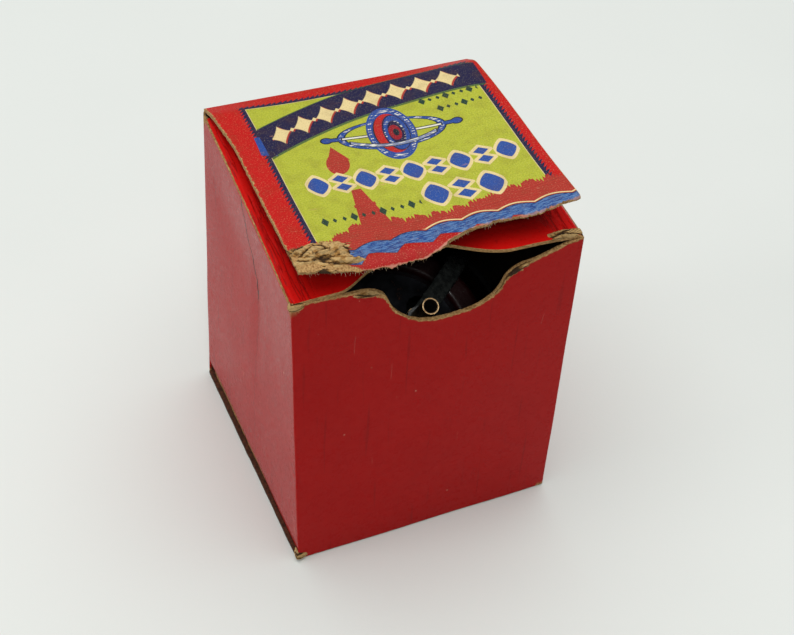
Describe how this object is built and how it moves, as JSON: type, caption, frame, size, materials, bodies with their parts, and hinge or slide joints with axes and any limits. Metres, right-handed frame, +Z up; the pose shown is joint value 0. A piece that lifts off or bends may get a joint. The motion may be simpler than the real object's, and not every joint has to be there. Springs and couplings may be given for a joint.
{
  "type": "toy gyroscope top in carton",
  "caption": "Small square carton with a thumb notch, dust flaps and a lid ajar, holding a leaning ring-framed gyroscope top with a turning rotor.",
  "frame": {"origin": "centre of the carton's underside", "axes": "+Z up, -Y towards the carton's front with the thumb notch, +X to the right"},
  "size_m": [0.057, 0.0581, 0.0815],
  "materials": {
    "carton_board": "red glazed paper over brown board",
    "printed_label": "printed lime label with navy and red shapes",
    "torn_board": "bare torn brown board",
    "black_enamel": "glossy black enamel",
    "brass_parts": "dulled turned brass",
    "steel_parts": "turned steel",
    "web_steel": "pressed steel sheet",
    "rim_iron": "cast rim, painted dark red"
  },
  "bodies": {
    "carton": {"front_wall": "carton_board", "back_wall": "carton_board", "left_wall": "carton_board", "right_wall": "carton_board", "glue_lap": "carton_board", "bottom_panel": "carton_board", "bottom_flap_left": "carton_board", "bottom_flap_right": "carton_board", "bottom_tuck": "carton_board"},
    "lid": {"lid_panel": "carton_board", "lid_label": "printed_label", "lid_tuck_stub": "torn_board"},
    "left_flap": {"dust_flap_left": "carton_board"},
    "right_flap": {"dust_flap_right": "carton_board"},
    "gyroscope": {"frame_ring": "black_enamel", "guard_ring": "black_enamel", "frame_rivets": "brass_parts", "socket_tip": "brass_parts", "socket_bearing": "steel_parts", "string_tip": "brass_parts", "tip_nuts": "brass_parts"},
    "rotor": {"axle": "steel_parts", "rotor_hub": "steel_parts", "rotor_web": "web_steel", "rotor_rim": "rim_iron"}
  },
  "joints": [
    {"name": "lid_hinge", "type": "hinge", "parent": "carton", "child": "lid", "pos_m": [0, 0.029, 0.07465], "axis": [-1, 0, 0], "range_deg": [-6, 174]},
    {"name": "left_flap_hinge", "type": "hinge", "parent": "carton", "child": "left_flap", "pos_m": [-0.0285, 0, 0.0737], "axis": [0, -1, 0], "range_deg": [-3, 87]},
    {"name": "right_flap_hinge", "type": "hinge", "parent": "carton", "child": "right_flap", "pos_m": [0.0285, 0, 0.0737], "axis": [0, 1, 0], "range_deg": [-3, 87]},
    {"name": "gyroscope_lift", "type": "slide", "parent": "carton", "child": "gyroscope", "axis": [0, 0, 1], "range_m": [0, 0.011]},
    {"name": "rotor_spin", "type": "hinge", "parent": "gyroscope", "child": "rotor", "pos_m": [0.0012, -0.00553, 0.03151], "axis": [0, -0.5373, 0.8434], "continuous": true}
  ],
  "couplings": [
    {"joint": "left_flap_hinge", "follows": "lid_hinge", "ratio": 0.5},
    {"joint": "right_flap_hinge", "follows": "lid_hinge", "ratio": 0.5}
  ]
}
